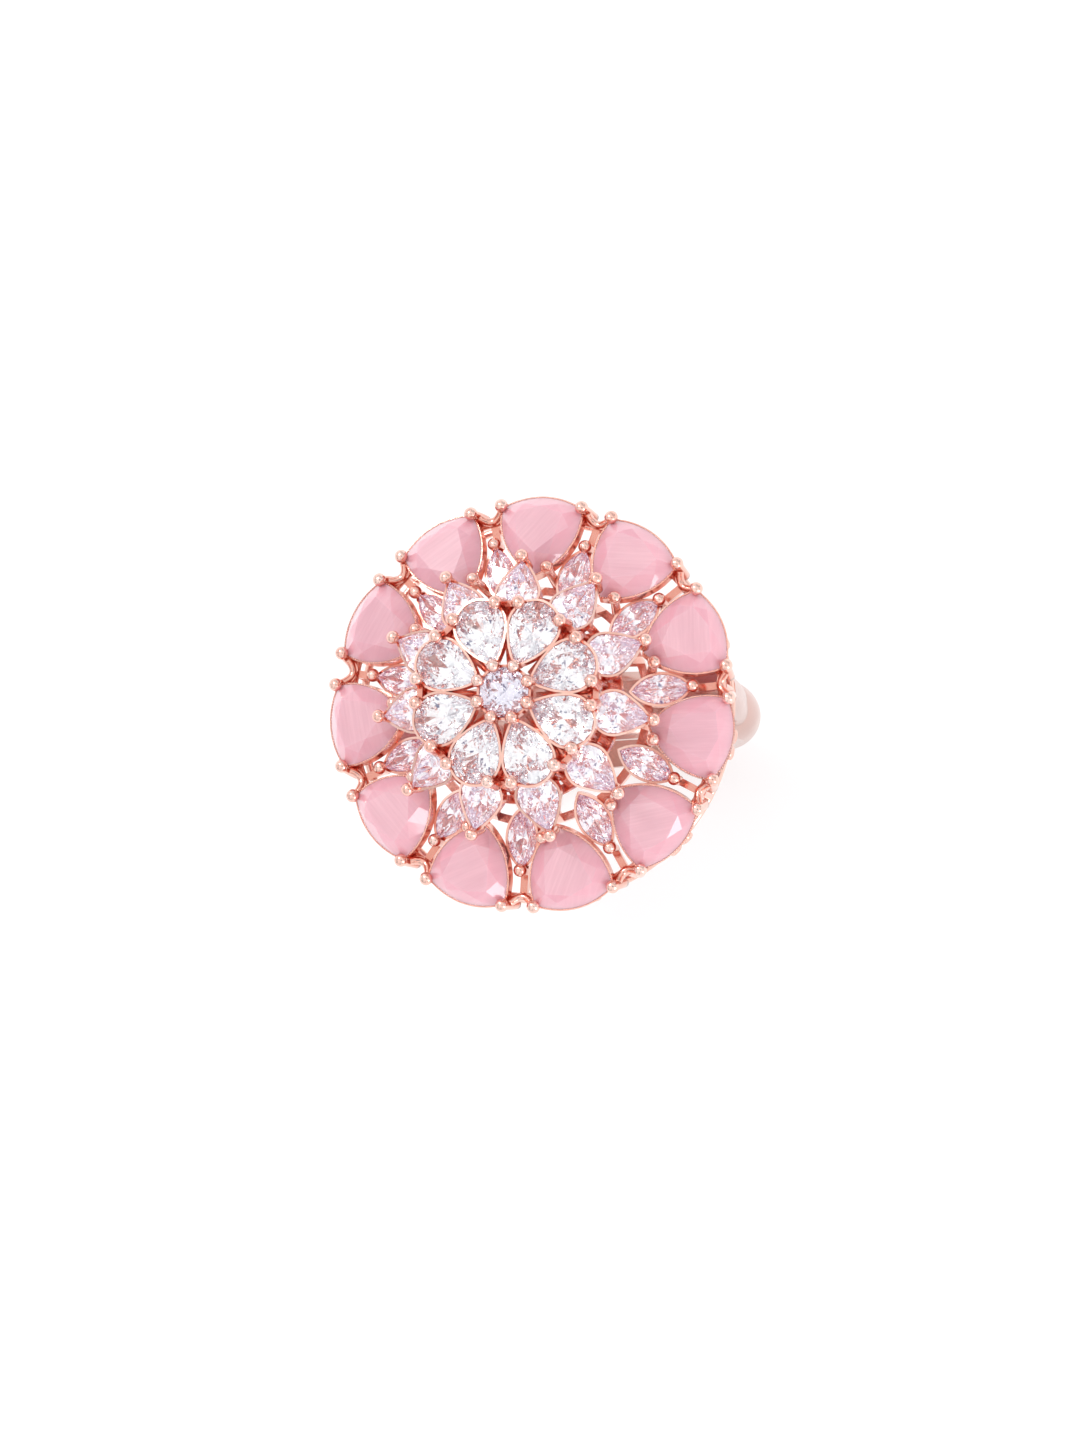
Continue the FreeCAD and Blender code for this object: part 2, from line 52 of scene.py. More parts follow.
# Studio: inner and outer half-angles in degrees, and colours, of the white panel in front of the
# ring and of the dark lens opening beside the camera; then the light levels
FRONT_PANEL = (28.0, 55.0)
FRONT_COLOUR = (1.1, 1.1, 1.1)
LENS_SPOT = (7.5, 11.5)
LENS_SIDE = Vector((0.3395, -0.1583, 0.9272))
LENS_COLOUR = (0.08, 0.09, 0.20)
TENT_STOPS = [(0.38, (0.42, 0.41, 0.44)), (0.50, (0.92, 0.91, 0.93)), (0.62, (1.15, 1.15, 1.16))]
TENT_STRENGTH = 1.0
FLOOR_HALF_SIZE = 4.0
FLOOR_STOPS = [(0.3, (0.60, 0.60, 0.60)), (0.7, (0.64, 0.64, 0.64))]
FLOOR_GLOW = 0.45
LIGHT_BOUNCES = 24
KEY_LIGHT = {"place": (-0.12, 0.16, 0.30), "size": 0.10, "power": 0.30}
FILL_LIGHT = {"place": (0.24, -0.22, 0.14), "size": 0.14, "power": 0.24}

# The part's driving sizes, in millimetres, that the claws and bead rims are built on
OUTER_COUNT = 11
PETAL_COUNT = 8
OUTER_STEP = 360.0 / OUTER_COUNT
OUTER_PHASE = -OUTER_STEP / 2.0
MARQUISE_PHASE = 0.0
MID_PHASE = OUTER_PHASE + 1.2
PETAL_PHASE = 15.5
TRILLION_REACH = 2.83
TRILLION_BULGE = 2.17
MARQUISE_HALF_LENGTH = 1.75
MID_TAIL = 2.25
PETAL_HALF_WIDTH = 1.5
CENTRE_HALF_WIDTH = 1.5
RIM_OFFSET = 0.02
TIP_SPOT = Vector((-2.38, -0.74, 0))
PLACE_TRILLION = (10.48, 13.88, 14.5)
PLACE_MARQUISE = (8.1, 13.75, 12.0)
PLACE_MID = (6.2, 17.83, 25.0)
PLACE_PETAL = (4.3, 19.98, 5.0)
PLACE_CENTRE = (0.0, 20.08, 0.0)
BEAD_RADIUS = 0.41
PRONG_RADIUS = 0.31
NECK_RADIUS = 0.27
BEAD_OUT = 0.14
BEAD_UP = 0.44
PRONG_OUT = 0.42
CORNER_BEAD_OUT = 0.06
CORNER_CLAW_LENGTH = 1.6
TIP_BEAD_UP = 0.5
TIP_CLAW_LENGTH = 2.0
MARQUISE_CLAW_LENGTH = 1.0
MID_CLAW_LENGTH = 1.3
PETAL_CLAW_LENGTH = 0.75
PETAL_CLAW_ANGLE = 58.0
CENTRE_CLAW_LENGTH = 0.55
CLAW_BOW = 0.05
CLAW_STEPS = 7

# Beads on the trillions' rims, wires across the outer gaps, scrolls and bars, in millimetres
GRAIN_RADIUS = 0.065
GRAIN_STEP = 0.165
GRAIN_HEIGHT = 0.04
SADDLE_RADIUS = 0.27
SADDLE_END = 0.2
SADDLE_BALL = 1.15 * SADDLE_RADIUS
SADDLE_STEPS = 12
SADDLE_DROP = 0.35
SADDLE_BOW = 0.55
SADDLE_SAG = 0.35
SCROLL_RADIUS = 11.96
SCROLL_SPREAD = 0.53
SCROLL_LOW = 10.45
SCROLL_HIGH = 11.9
SCROLL_EYE = 0.1
SCROLL_TURN = 0.37
SCROLL_WIRE = 0.15
SCROLL_BALL = 1.25 * SCROLL_WIRE
SCROLL_SWEEP = 450.0
SCROLL_CURL_STEPS = 26
SCROLL_STEM_STEPS = 10
BAR_DEPTH = 0.3
BAR_CHAMFER = 0.05
# Distance from the crown's axis, half width and top of a petal bar's sections
BAR_STATIONS = ((1.75, 0.12, 19.25), (3.2, 0.30, 19.2), (4.6, 0.45, 19.15), (5.5, 0.75, 19.1))

# Colours, and how far in metal must be hemmed to count as recessed and get painted shade
ROSE = (0.95, 0.63, 0.54)
ROSE_DEEP = (0.92, 0.53, 0.44)
ROSE_PALE = (0.97, 0.74, 0.67)
BAND_TONE = (0.67, 0.45, 0.40)
BAND_PALE = (0.74, 0.54, 0.48)
# Painted shade: deep coral painted into the metal's recesses, where shade and rose light bouncing
# between parts would darken it
ROSE_PAINTED_SHADE = (0.72, 0.27, 0.20)
PINK_STOPS = [
    (0.36, (0.67, 0.37, 0.425)),
    (0.5, (0.71, 0.405, 0.46)),
    (0.64, (0.76, 0.455, 0.505)),
]
# Painted shade: a deeper, more saturated pink painted on the sloping bevel facets for how light
# falls through and off them
PINK_PAINTED_BEVEL_SHADE = (0.80, 0.36, 0.44)
# Painted light: a faint pink glow that lifts the stones' shaded inner sides, standing in for light
# scattered inside them
PINK_PAINTED_GLOW = (0.075, 0.043, 0.049)
# Direction of each cat's-eye's fibres as the camera sees it, and the camera's roll, in degrees
FIBRE_ANGLES = (2, 92, -3, 48, 35, 60, 100, 130, 20, 65, 12)
CAMERA_ROLL = 4.7
# Painted shade: how far the occlusion looks, and the occlusion over which the painted recess
# colour comes in
PAINTED_SHADE_REACH = 1.8 * MM
PAINTED_SHADE_RANGE = (0.85, 0.35)

# Crystal: refraction, share of the tint's drift, and the small facets' density per mm and lean
CRYSTAL_IOR = 2.05
TINT_DRIFT = 0.98
FACET_DENSITY = 1.2
FACET_LEAN = 0.09
CENTRE_FACET_LEAN = 0.24
# Tints of the three kinds of crystal, each with a faint painted glow given off though the stones
# are no lamps
CLEAR_TINT = (0.985, 0.99, 1.0)
CLEAR_PAINTED_GLOW = (0.003, 0.003, 0.007)
BLUSH_TINT = (0.985, 0.975, 1.0)
BLUSH_PAINTED_GLOW = (0.014, 0.011, 0.019)
CENTRE_TINT = (0.87, 0.85, 0.95)
CENTRE_PAINTED_GLOW = (0.002, 0.002, 0.006)

# Upward parts of a cat's-eye facet's normal between which its bevel colour, a painted shade, comes
# in
PAINTED_BEVEL_SHADE_RANGE = (0.96, 0.78)
PAINTED_BEVEL_SHADE_SHARE = 0.45
STONE_CREASE = 12.0
METAL_CREASE = 35.0


def new_material(name):
    material = bpy.data.materials.new(name)
    material.use_nodes = True
    tree = material.node_tree
    tree.nodes.clear()
    output = tree.nodes.new("ShaderNodeOutputMaterial")
    shader = tree.nodes.new("ShaderNodeBsdfPrincipled")
    tree.links.new(shader.outputs["BSDF"], output.inputs["Surface"])
    return material, tree, shader


def add(tree, kind, **settings):
    node = tree.nodes.new(kind)
    for key, value in settings.items():
        if key in node.inputs:
            node.inputs[key].default_value = value
        else:
            setattr(node, key, value)
    return node


def mapped(tree, scale, turn=0.0):
    """Object coordinates in millimetres, turned about Z, then scaled."""
    coords = add(tree, "ShaderNodeTexCoord")
    turned = add(tree, "ShaderNodeMapping")
    turned.inputs["Rotation"].default_value = (0, 0, -turn)
    scaled = add(tree, "ShaderNodeMapping")
    scaled.inputs["Scale"].default_value = [value / MM for value in scale]
    tree.links.new(coords.outputs["Object"], turned.inputs["Vector"])
    tree.links.new(turned.outputs["Vector"], scaled.inputs["Vector"])
    return scaled.outputs["Vector"]


def noise(tree, vector, scale, detail=4.0, roughness=0.5):
    node = add(tree, "ShaderNodeTexNoise", Scale=scale, Detail=detail, Roughness=roughness)
    tree.links.new(vector, node.inputs["Vector"])
    return node.outputs["Fac"]


def ramp(tree, source, stops):
    node = tree.nodes.new("ShaderNodeValToRGB")
    elements = node.color_ramp.elements
    while len(elements) < len(stops):
        elements.new(0.5)
    for element, (place, colour) in zip(elements, stops):
        element.position = place
        element.color = (*colour, 1.0)
    tree.links.new(source, node.inputs["Fac"])
    return node.outputs["Color"]


def bump(tree, height, strength, distance):
    node = add(tree, "ShaderNodeBump", Strength=strength, Distance=distance)
    tree.links.new(height, node.inputs["Height"])
    return node.outputs["Normal"]


def span(tree, source, low, high, start=0.0, end=1.0):
    """The source, from its start to its end, as a value from low to high."""
    node = add(tree, "ShaderNodeMapRange")
    node.inputs["From Min"].default_value = start
    node.inputs["From Max"].default_value = end
    node.inputs["To Min"].default_value = low
    node.inputs["To Max"].default_value = high
    tree.links.new(source, node.inputs["Value"])
    return node.outputs["Result"]


def colour_mix(tree, share, first, second):
    """The first socket's colour, giving way to the second, a plain colour, by the share."""
    node = add(tree, "ShaderNodeMix", data_type="RGBA")
    tree.links.new(share, node.inputs[0])
    tree.links.new(first, node.inputs[6])
    node.inputs[7].default_value = (*second, 1.0)
    return node.outputs[2]


def vector_step(tree, kind, first, second):
    """A vector operation on a socket and either another socket or a plain vector."""
    node = add(tree, "ShaderNodeVectorMath", operation=kind)
    tree.links.new(first, node.inputs[0])
    if isinstance(second, bpy.types.NodeSocket):
        tree.links.new(second, node.inputs[1])
    else:
        node.inputs[1].default_value = second
    return node.outputs["Value" if kind == "DOT_PRODUCT" else "Vector"]


# Painted light: gives a stone a faint glow of the colour, though it is no lamp
def give_painted_glow(shader, colour):
    shader.inputs["Emission Color"].default_value = (*colour, 1.0)
    shader.inputs["Emission Strength"].default_value = 1.0


def metal(name, tones, painted_occlusion_tone, polish, grain):
    """Plated metal: slow tone drift, painted shade (a deeper tone) in the recesses, polishing
    haze, cast grain.
    """
    material, tree, shader = new_material(name)
    shader.inputs["Metallic"].default_value = 1.0
    place = mapped(tree, (1, 1, 1))
    drift = noise(tree, place, 0.55, 3.0)
    tone = ramp(tree, drift, [(0.3, tones[0]), (0.55, tones[1]), (0.8, tones[2])])
    # Painted shade: ambient occlusion mixes the painted recess colour into the tone where the
    # metal is hemmed in
    shade = add(tree, "ShaderNodeAmbientOcclusion", samples=6, Distance=PAINTED_SHADE_REACH)
    painted_occlusion_share = span(tree, shade.outputs["AO"], 0.0, 1.0, *PAINTED_SHADE_RANGE)
    tree.links.new(colour_mix(tree, painted_occlusion_share, tone, painted_occlusion_tone), shader.inputs["Base Color"])
    haze = noise(tree, place, 2.3, 5.0)
    tree.links.new(span(tree, haze, *polish), shader.inputs["Roughness"])
    pits = noise(tree, place, 6.0, 6.0, 0.6)
    tree.links.new(bump(tree, pits, grain, 0.03 * MM), shader.inputs["Normal"])
    return material


def crystal(name, tint, glow, lean_by=FACET_LEAN):
    """Clear cubic zirconia: polishing haze, small facets within the cut ones, a faint painted
    glow.
    """
    material, tree, shader = new_material(name)
    shader.inputs["Transmission Weight"].default_value = 1.0
    shader.inputs["IOR"].default_value = CRYSTAL_IOR
    give_painted_glow(shader, glow)
    place = mapped(tree, (1, 1, 1))
    deeper = [TINT_DRIFT * value for value in tint]
    drift = noise(tree, place, 0.8, 2.0)
    tree.links.new(ramp(tree, drift, [(0.35, deeper), (0.65, tint)]), shader.inputs["Base Color"])
    haze = noise(tree, place, 3.0, 3.0)
    tree.links.new(span(tree, haze, 0.0, 0.04), shader.inputs["Roughness"])
    cells = add(tree, "ShaderNodeTexVoronoi", Scale=FACET_DENSITY)
    tree.links.new(place, cells.inputs["Vector"])
    centred = vector_step(tree, "SUBTRACT", cells.outputs["Color"], [0.5] * 3)
    lean = vector_step(tree, "MULTIPLY", centred, [lean_by] * 3)
    facing = add(tree, "ShaderNodeNewGeometry")
    leaning = vector_step(tree, "ADD", facing.outputs["Normal"], lean)
    unit = add(tree, "ShaderNodeVectorMath", operation="NORMALIZE")
    tree.links.new(leaning, unit.inputs[0])
    tree.links.new(unit.outputs["Vector"], shader.inputs["Normal"])
    return material


def cats_eye(name, turn):
    """Milky pink glass with fine parallel fibres, each stone's at its own angle, painted shade on
    its sloping facets and a painted glow.
    """
    material, tree, shader = new_material(name)
    fibres = noise(tree, mapped(tree, (0.12, 3.0, 0.3), turn), 2.2, 7.0, 0.7)
    cloud = noise(tree, mapped(tree, (0.5, 1.4, 0.5), turn), 0.6, 2.0)
    blend = add(tree, "ShaderNodeMix", Factor=0.35)
    tree.links.new(fibres, blend.inputs["A"])
    tree.links.new(cloud, blend.inputs["B"])
    # Painted shade: the more a facet slopes, the more of the deeper bevel pink is painted on it
    facing = add(tree, "ShaderNodeNewGeometry")
    upright = add(tree, "ShaderNodeSeparateXYZ")
    tree.links.new(facing.outputs["True Normal"], upright.inputs["Vector"])
    painted_bevel_shade = span(tree, upright.outputs["Z"], 0.0, PAINTED_BEVEL_SHADE_SHARE, *PAINTED_BEVEL_SHADE_RANGE)
    tone = ramp(tree, blend.outputs["Result"], PINK_STOPS)
    tree.links.new(colour_mix(tree, painted_bevel_shade, tone, PINK_PAINTED_BEVEL_SHADE), shader.inputs["Base Color"])
    give_painted_glow(shader, PINK_PAINTED_GLOW)
    shader.inputs["Subsurface Weight"].default_value = 0.5
    shader.inputs["Subsurface Radius"].default_value = (1.0, 0.6, 0.7)
    shader.inputs["Subsurface Scale"].default_value = 1.1 * MM
    shader.inputs["Roughness"].default_value = 0.16
    shader.inputs["Coat Weight"].default_value = 1.0
    shader.inputs["Coat Roughness"].default_value = 0.03
    tree.links.new(bump(tree, fibres, 0.1, 0.02 * MM), shader.inputs["Normal"])
    return material


def heading(degrees):
    """The flat unit vector at an angle from +X."""
    return Vector((math.cos(math.radians(degrees)), math.sin(math.radians(degrees)), 0))


def stone_matrix(place, phase):
    """A stone's own frame in the part's frame, in millimetres: x outward, z up from its table."""
    radius, height, tilt = place
    turn = Matrix.Rotation(math.radians(phase), 4, "Z")
    shift = Matrix.Translation((radius, 0, height))
    return turn @ shift @ Matrix.Rotation(math.radians(tilt), 4, "Y")


def trillion_rim(offset, step):
    """Evenly spaced points, with their outward directions, round a trillion's bowed outline."""
    half_chord = TRILLION_REACH * math.sqrt(3.0) / 2.0
    rise = TRILLION_BULGE - TRILLION_REACH / 2.0
    curve = (half_chord ** 2 + rise ** 2) / (2.0 * rise)
    sink = curve - TRILLION_BULGE
    corner = -sink / 2.0 + math.sqrt((curve + offset) ** 2 - 0.75 * sink ** 2)
    points = []
    for side in (0, 120, 240):
        middle = heading(side)
        hub = middle * -sink
        first = heading(side - 60) * corner - hub
        half = first.angle(middle)
        count = max(2, round(2.0 * half * (curve + offset) / step))
        for k in range(count):
            turn = Matrix.Rotation(half * (2.0 * k / count - 1.0), 3, "Z")
            outward = turn @ middle
            points.append((hub + outward * (curve + offset), outward))
    return points


class Shape:
    """Collects faces in millimetres and makes one mesh piece of them."""

    def __init__(self):
        self.corners = []
        self.faces = []

    def tube(self, rings):
        """A closed skin over rings of equal count; the first and last rings are capped."""
        base = len(self.corners)
        count = len(rings[0])
        for ring in rings:
            self.corners += ring
        for k in range(len(rings) - 1):
            low = base + k * count
            for j in range(count):
                turn = (j + 1) % count
                self.faces.append((low + j, low + turn, low + count + turn, low + count + j))
        self.faces.append(tuple(base + j for j in reversed(range(count))))
        top = base + (len(rings) - 1) * count
        self.faces.append(tuple(top + j for j in range(count)))

    def sweep(self, path, radii, sides=20):
        """Round sections along a path."""
        rings = []
        side = None
        for k, point in enumerate(path):
            before = path[max(k - 1, 0)]
            after = path[min(k + 1, len(path) - 1)]
            along = (after - before).normalized()
            if side is None:
                side = along.orthogonal()
            side = (side - along * side.dot(along)).normalized()
            other = along.cross(side)
            ring = []
            for j in range(sides):
                angle = 2.0 * math.pi * j / sides
                ring.append(point + (side * math.cos(angle) + other * math.sin(angle)) * radii[k])
            rings.append(ring)
        self.tube(rings)

    def ball(self, centre, axis, radius, sides=24, rows=12, flat=1.0):
        """A round bead, a little flattened along its axis if flat is under one."""
        axis = axis.normalized()
        side = axis.orthogonal().normalized()
        other = axis.cross(side)
        rings = []
        for k in range(1, rows):
            angle = math.pi * k / rows
            height = -math.cos(angle) * radius * flat
            wide = math.sin(angle) * radius
            ring = []
            for j in range(sides):
                turn = 2.0 * math.pi * j / sides
                spoke = side * math.cos(turn) + other * math.sin(turn)
                ring.append(centre + axis * height + spoke * wide)
            rings.append(ring)
        self.tube(rings)

    def piece(self, name, material, *replaced):
        mesh = bpy.data.meshes.new(name)
        mesh.from_pydata([corner * MM for corner in self.corners], [], self.faces)
        mesh.materials.append(material)
        mesh.shade_smooth()
        item = bpy.data.objects.new(name, mesh)
        bpy.context.scene.collection.objects.link(item)
        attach(item, "root")
        if replaced:
            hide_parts(*replaced)
        return item


def bent_claw(shape, matrix, point, outward, length, bead_up=BEAD_UP, bead_out=BEAD_OUT):
    """A prong that leans in to a necked, round bead over the stone's edge."""
    up = Vector((0, 0, 1))
    bead = point + outward * bead_out + up * bead_up
    foot = point + outward * PRONG_OUT - up * length
    bow = (bead + foot) / 2.0 + outward * CLAW_BOW
    path = []
    radii = []
    for k in range(CLAW_STEPS + 1):
        t = k / CLAW_STEPS
        spot = foot * (1 - t) ** 2 + bow * 2 * t * (1 - t) + bead * t ** 2
        path.append(matrix @ spot)
        radii.append(PRONG_RADIUS + (NECK_RADIUS - PRONG_RADIUS) * t)
    shape.sweep(path, radii)
    axis = matrix.to_3x3() @ (up * 2.0 + outward * 0.6)
    shape.ball(matrix @ bead, axis, BEAD_RADIUS, flat=0.94)


def build_claws(gold):
    right = Vector((1, 0, 0))
    rim = trillion_rim(0.0, 0.45)
    outer = Shape()
    tips = Shape()
    tip_point, tip_out = min(rim, key=lambda pair: (pair[0] - TIP_SPOT).length)
    for k in range(OUTER_COUNT):
        matrix = stone_matrix(PLACE_TRILLION, OUTER_PHASE + k * OUTER_STEP)
        for side in (-60, 60):
            outward = heading(side)
            corner = outward * TRILLION_REACH
            bent_claw(outer, matrix, corner, outward, CORNER_CLAW_LENGTH, bead_out=CORNER_BEAD_OUT)
        bent_claw(tips, matrix, tip_point, tip_out, TIP_CLAW_LENGTH, bead_up=TIP_BEAD_UP)
    outer.piece("corner_claws_bent", gold, "outer_claws")
    tips.piece("tip_claws_bent", gold, "tip_claws")
    marquise = Shape()
    mid = Shape()
    for k in range(OUTER_COUNT):
        matrix = stone_matrix(PLACE_MARQUISE, MARQUISE_PHASE + k * OUTER_STEP)
        bent_claw(marquise, matrix, right * MARQUISE_HALF_LENGTH, right, MARQUISE_CLAW_LENGTH)
        matrix = stone_matrix(PLACE_MID, MID_PHASE + k * OUTER_STEP)
        bent_claw(mid, matrix, right * MID_TAIL, right, MID_CLAW_LENGTH)
    marquise.piece("marquise_claws_bent", gold, "marquise_claws")
    mid.piece("mid_claws_bent", gold, "mid_claws")
    petal = Shape()
    centre = Shape()
    for k in range(PETAL_COUNT):
        phase = PETAL_PHASE + k * 360.0 / PETAL_COUNT
        matrix = stone_matrix(PLACE_PETAL, phase)
        for side in (-PETAL_CLAW_ANGLE, PETAL_CLAW_ANGLE):
            outward = heading(side)
            bent_claw(petal, matrix, outward * PETAL_HALF_WIDTH, outward, PETAL_CLAW_LENGTH)
        matrix = stone_matrix(PLACE_CENTRE, phase)
        bent_claw(centre, matrix, right * CENTRE_HALF_WIDTH, right, CENTRE_CLAW_LENGTH)
    petal.piece("petal_claws_bent", gold, "petal_claws")
    centre.piece("centre_claws_bent", gold, "centre_claws")


def build_gap_wires(gold):
    """Saddle wires that join neighbouring stones' corner claws across each gap round the edge."""
    wires = Shape()
    for k in range(OUTER_COUNT):
        ends = []
        for side, step in ((60, k), (-60, k + 1)):
            matrix = stone_matrix(PLACE_TRILLION, OUTER_PHASE + step * OUTER_STEP)
            foot = heading(side) * (TRILLION_REACH + SADDLE_END) - Vector((0, 0, SADDLE_DROP))
            ends.append(matrix @ foot)
        middle = (ends[0] + ends[1]) / 2.0
        inward = Vector((-middle.x, -middle.y, 0)).normalized()
        dip = middle + inward * SADDLE_BOW - Vector((0, 0, SADDLE_SAG))
        pull = dip * 2 - middle
        path = []
        for step in range(SADDLE_STEPS + 1):
            t = step / SADDLE_STEPS
            path.append(ends[0] * (1 - t) ** 2 + pull * 2 * t * (1 - t) + ends[1] * t ** 2)
        wires.sweep(path, [SADDLE_RADIUS] * len(path), sides=16)
        for end in ends:
            wires.ball(end, Vector((0, 0, 1)), SADDLE_BALL, sides=16, rows=8)
    wires.piece("gap_saddle_wires", gold)


def scroll_path():
    """An S-scroll in its own plane: a curl at the top, a slanting stem, a curl at the bottom."""
    top = []
    bottom = []
    for k in range(SCROLL_CURL_STEPS + 1):
        share = k / SCROLL_CURL_STEPS
        radius = SCROLL_EYE + (SCROLL_TURN - SCROLL_EYE) * share
        spot = heading(SCROLL_SWEEP * (1.0 - share)) * radius
        top.append((spot.x, SCROLL_HIGH + spot.y))
        bottom.append((-spot.x, SCROLL_LOW - spot.y))
    stem = []
    for k in range(1, SCROLL_STEM_STEPS):
        t = k / SCROLL_STEM_STEPS
        ease = t * t * (3.0 - 2.0 * t)
        across = SCROLL_TURN * (1.0 - 2.0 * ease)
        stem.append((across, SCROLL_HIGH + (SCROLL_LOW - SCROLL_HIGH) * t))
    return top + stem + bottom[::-1]


def build_scrolls(gold):
    """A mirrored pair of curled scrolls under each trillion, between the foot and outer rails."""
    scrolls = Shape()
    spots = scroll_path()
    for k in range(OUTER_COUNT):
        turn = Matrix.Rotation(math.radians(OUTER_PHASE + k * OUTER_STEP), 4, "Z")
        for side in (-1, 1):
            path = []
            for across, height in spots:
                reach = side * (SCROLL_SPREAD + across)
                path.append(turn @ Vector((SCROLL_RADIUS, reach, height)))
            scrolls.sweep(path, [SCROLL_WIRE] * len(path), sides=12)
            for end in (path[0], path[-1]):
                scrolls.ball(end, turn.to_3x3() @ Vector((1, 0, 0)), SCROLL_BALL, sides=14, rows=8)
    scrolls.piece("gallery_scrolls_curled", gold, "gallery_scrolls")


def build_petal_bars(gold):
    """Tapered bars that close the gaps between neighbouring petals' seats."""
    bars = Shape()
    for k in range(PETAL_COUNT):
        turn = Matrix.Rotation(math.radians(PETAL_PHASE + (k + 0.5) * 360.0 / PETAL_COUNT), 4, "Z")
        rings = []
        for radius, half, top in BAR_STATIONS:
            low = top - BAR_DEPTH
            edge = top - BAR_CHAMFER
            corners = ((-half, low), (half, low), (half, edge), (0, top), (-half, edge))
            rings.append([turn @ Vector((radius, side, height)) for side, height in corners])
        bars.tube(rings)
    bars.piece("petal_gap_bars", gold)


def build_grain_rims(gold):
    """A row of tiny beads along the top of each trillion's seat."""
    grains = Shape()
    for k in range(OUTER_COUNT):
        matrix = stone_matrix(PLACE_TRILLION, OUTER_PHASE + k * OUTER_STEP)
        axis = matrix.to_3x3() @ Vector((0, 0, 1))
        for point, _ in trillion_rim(RIM_OFFSET, GRAIN_STEP):
            grains.ball(matrix @ point + axis * GRAIN_HEIGHT, axis, GRAIN_RADIUS, sides=8, rows=5)
    grains.piece("trillion_grain_rims", gold)


def dress(piece, material):
    piece.data.materials.clear()
    piece.data.materials.append(material)


def dress_frame(nodes, gold):
    # Painted light and shade: the band's recesses get the rose tone painted in by occlusion
    band_gold = metal("band_gold", (BAND_TONE, BAND_TONE, BAND_PALE), ROSE, (0.14, 0.24), 0.08)
    clear = crystal("clear_crystal", CLEAR_TINT, CLEAR_PAINTED_GLOW)
    blush = crystal("blush_crystal", BLUSH_TINT, BLUSH_PAINTED_GLOW)
    centre = crystal("centre_crystal", CENTRE_TINT, CENTRE_PAINTED_GLOW, CENTRE_FACET_LEAN)
    for name, piece in nodes.items():
        if name.startswith("outer_stone"):
            index = int(name[-2:])
            angle = math.radians(FIBRE_ANGLES[index - 1] - CAMERA_ROLL)
            dress(piece, cats_eye("cats_eye_%02d" % index, angle))
        elif name.startswith(("mid_stone", "marquise_stone")):
            dress(piece, blush)
        elif name.startswith("centre_stone"):
            dress(piece, centre)
        elif "_stone" in name:
            dress(piece, clear)
        elif name.startswith("band"):
            dress(piece, band_gold)
        else:
            dress(piece, gold)


def make_camera():
    right = CAMERA_UP.cross(CAMERA_BACK).normalized()
    up = CAMERA_BACK.cross(right).normalized()
    aim = Vector((0, 0, CLAW_PLANE)) + right * AIM_RIGHT + up * AIM_UP
    camera = bpy.data.objects.new("camera", bpy.data.cameras.new("camera"))
    bpy.context.scene.collection.objects.link(camera)
    turn = Matrix((right, up, CAMERA_BACK)).transposed()
    camera.matrix_world = Matrix.Translation(aim + CAMERA_BACK * CAMERA_DISTANCE) @ turn.to_4x4()
    camera.data.lens = CAMERA_LENS
    camera.data.sensor_width = 36.0
    camera.data.clip_start = 0.01
    camera.data.clip_end = 10.0
    bpy.context.scene.camera = camera


def make_floor(low):
    mesh = bpy.data.meshes.new("floor")
    size = FLOOR_HALF_SIZE
    corners = [(-size, -size, low), (size, -size, low), (size, size, low), (-size, size, low)]
    mesh.from_pydata(corners, [], [(0, 1, 2, 3)])
    floor = bpy.data.objects.new("floor", mesh)
    bpy.context.scene.collection.objects.link(floor)
    material, tree, shader = new_material("floor_white")
    tone = noise(tree, mapped(tree, (1, 1, 1)), 0.02, 2.0)
    tree.links.new(ramp(tree, tone, FLOOR_STOPS), shader.inputs["Base Color"])
    shader.inputs["Roughness"].default_value = 0.8
    shader.inputs["Emission Color"].default_value = (1, 1, 1, 1)
    shader.inputs["Emission Strength"].default_value = FLOOR_GLOW
    dress(floor, material)


def area_light(name, place, size, power, aim=(0, 0, CLAW_PLANE)):
    data = bpy.data.lights.new(name, "AREA")
    data.shape = "DISK"
    data.size = size
    data.energy = power
    light = bpy.data.objects.new(name, data)
    light.location = place
    light.rotation_mode = "QUATERNION"
    light.rotation_quaternion = (Vector(aim) - Vector(place)).to_track_quat("-Z", "Y")
    bpy.context.scene.collection.objects.link(light)


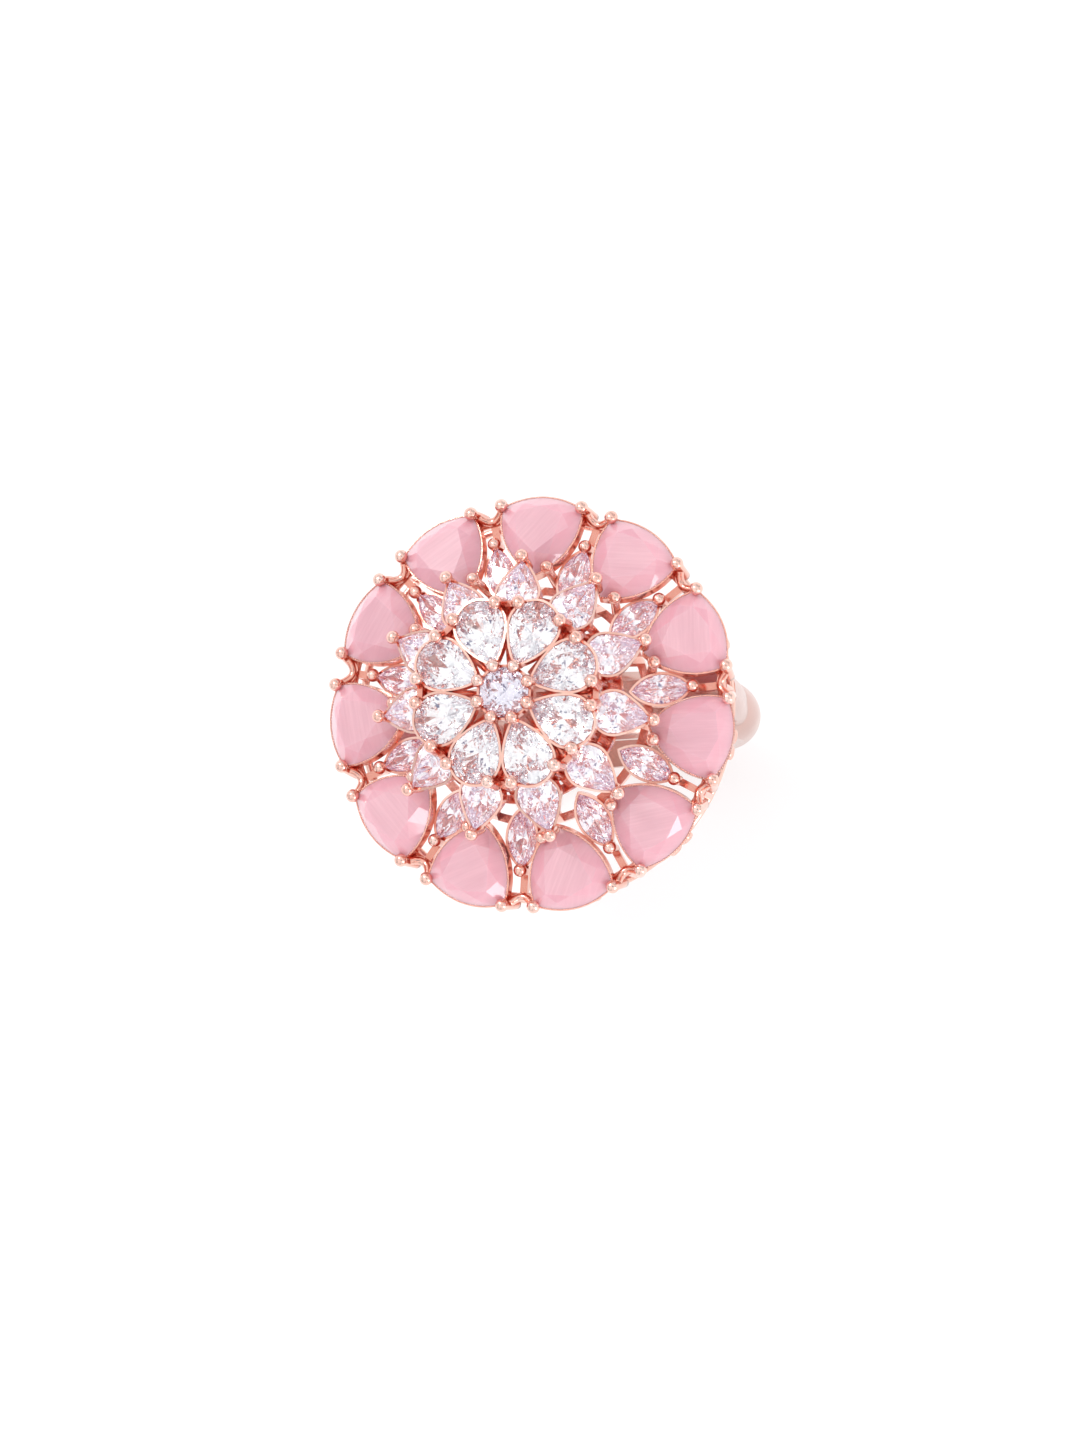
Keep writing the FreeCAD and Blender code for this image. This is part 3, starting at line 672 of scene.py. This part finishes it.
def make_world():
    """A white studio tent: soft panels, a white front and a dark lens opening beside it."""
    world = bpy.data.worlds.new("studio")
    bpy.context.scene.world = world
    world.use_nodes = True
    tree = world.node_tree
    tree.nodes.clear()
    output = tree.nodes.new("ShaderNodeOutputWorld")
    sky = tree.nodes.new("ShaderNodeBackground")
    tree.links.new(sky.outputs["Background"], output.inputs["Surface"])
    way = tree.nodes.new("ShaderNodeTexCoord").outputs["Generated"]
    panels = noise(tree, way, 3.2, 1.0)
    tent = ramp(tree, panels, TENT_STOPS)
    front = (FRONT_PANEL, CAMERA_BACK, FRONT_COLOUR)
    lens = (LENS_SPOT, LENS_SIDE, LENS_COLOUR)
    for (inner, outer), side, colour in (front, lens):
        towards = vector_step(tree, "DOT_PRODUCT", way, side)
        start = math.cos(math.radians(outer))
        end = math.cos(math.radians(inner))
        reach = span(tree, towards, 0.0, 1.0, start, end)
        tent = colour_mix(tree, reach, tent, colour)
    tree.links.new(tent, sky.inputs["Color"])
    sky.inputs["Strength"].default_value = TENT_STRENGTH


def make_lights():
    make_world()
    area_light("key", **KEY_LIGHT)
    area_light("fill", **FILL_LIGHT)


def smooth_edges(piece, degrees):
    """Smooth shading that keeps edges sharper than the angle crisp."""
    mesh = piece.data
    if mesh.has_custom_normals:
        with bpy.context.temp_override(object=piece, active_object=piece):
            bpy.ops.mesh.customdata_custom_splitnormals_clear()
    mesh.shade_smooth()
    mesh.set_sharp_from_angle(angle=math.radians(degrees))


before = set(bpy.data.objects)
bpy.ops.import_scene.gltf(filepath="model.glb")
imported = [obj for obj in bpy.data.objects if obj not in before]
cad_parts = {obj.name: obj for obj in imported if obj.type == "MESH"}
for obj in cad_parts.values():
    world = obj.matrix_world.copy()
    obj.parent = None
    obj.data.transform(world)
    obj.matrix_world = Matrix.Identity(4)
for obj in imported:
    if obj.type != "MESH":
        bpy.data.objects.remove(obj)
cad_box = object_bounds()
bpy.context.scene.view_settings.view_transform = "Standard"
rose_tones = (ROSE_DEEP, ROSE, ROSE_PALE)
rose_gold = metal("rose_gold", rose_tones, ROSE_PAINTED_SHADE, (0.08, 0.2), 0.25)
dress_frame(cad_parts, rose_gold)
build_claws(rose_gold)
build_grain_rims(rose_gold)
build_gap_wires(rose_gold)
build_scrolls(rose_gold)
build_petal_bars(rose_gold)
for name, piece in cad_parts.items():
    smooth_edges(piece, STONE_CREASE if "_stone" in name else METAL_CREASE)
make_camera()
make_floor(cad_box[0].z)
make_lights()
paths = bpy.context.scene.cycles
paths.max_bounces = LIGHT_BOUNCES
paths.glossy_bounces = LIGHT_BOUNCES
paths.transmission_bounces = LIGHT_BOUNCES
